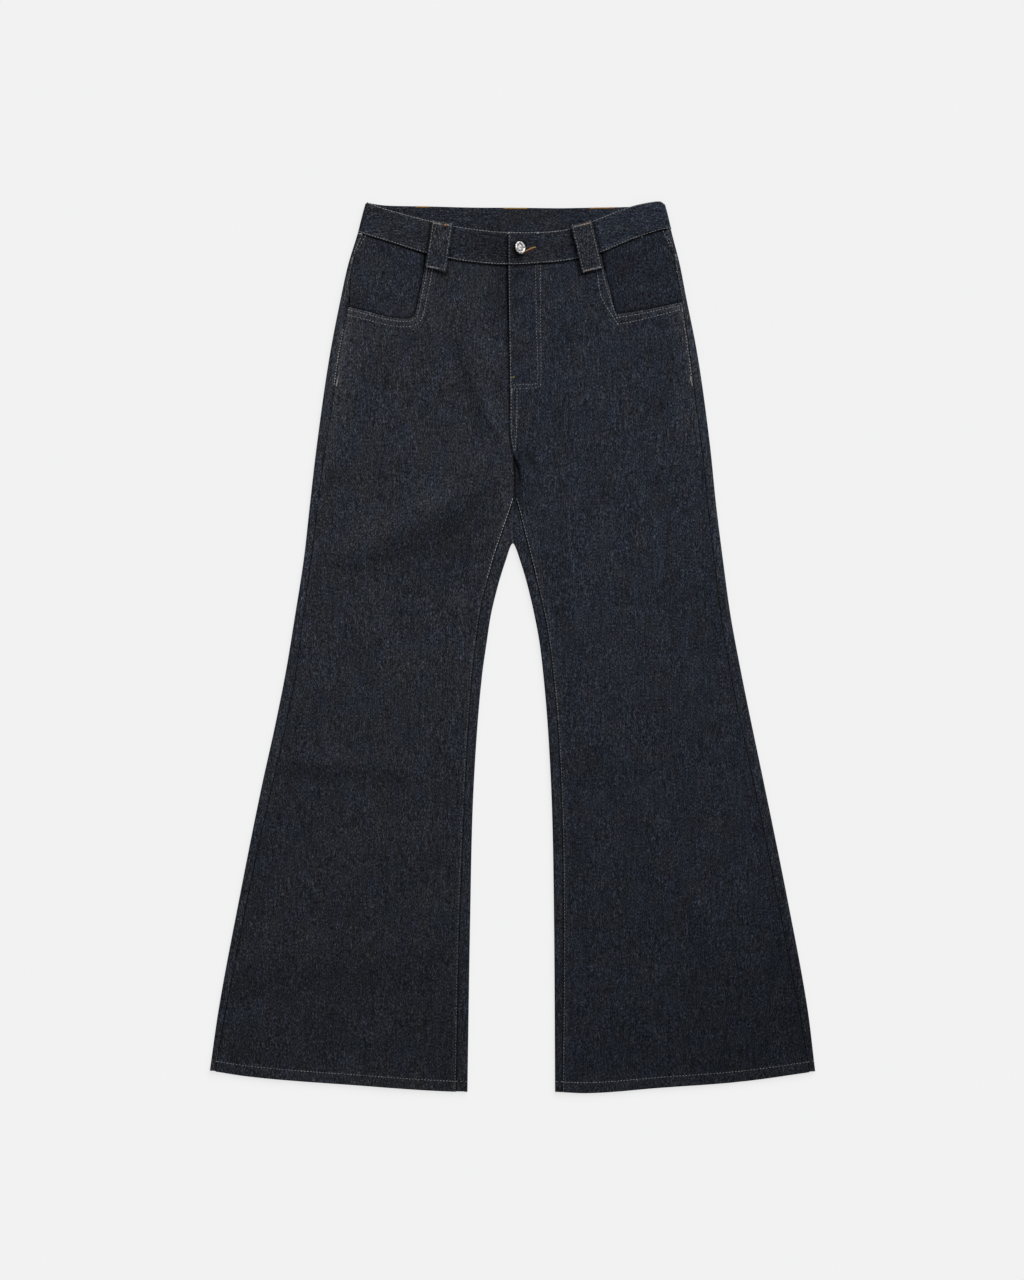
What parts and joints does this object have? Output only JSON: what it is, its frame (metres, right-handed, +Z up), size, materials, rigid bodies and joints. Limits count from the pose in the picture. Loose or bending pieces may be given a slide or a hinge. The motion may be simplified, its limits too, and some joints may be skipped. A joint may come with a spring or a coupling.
{
  "type": "flared jeans laid flat",
  "caption": "Dark denim flared jeans laid flat on their back, fastened at the waist with a shank button, with scooped front pockets, patch back pockets and belt loops.",
  "frame": {"origin": "middle of the area that the jeans cover, on the surface that they lie on", "axes": "+Z up from that surface to the front of the jeans, +Y towards the waist, -X towards the wearer's right leg"},
  "size_m": [0.726, 1.0686, 0.0217],
  "materials": {
    "denim": "dark indigo twill with pale slubs, matt",
    "metal": "silver, softly tarnished",
    "tape": "dark woven tape",
    "thread": "dull beige sewing thread",
    "bright_thread": "ochre sewing thread"
  },
  "bodies": {
    "root": {"front_right": "denim", "front_left": "denim", "back_right": "denim", "back_left": "denim", "yoke_right": "denim", "yoke_left": "denim", "waistband": "denim", "pocket_facing_right": "denim", "pocket_facing_left": "denim", "back_pocket_right": "denim", "back_pocket_left": "denim", "belt_loop_front_right": "denim", "belt_loop_front_left": "denim", "belt_loop_back_right": "denim", "belt_loop_back_centre": "denim", "belt_loop_back_left": "denim", "button": "metal", "zip_tape": "tape", "zip_slider": "metal"}
  },
  "joints": []
}
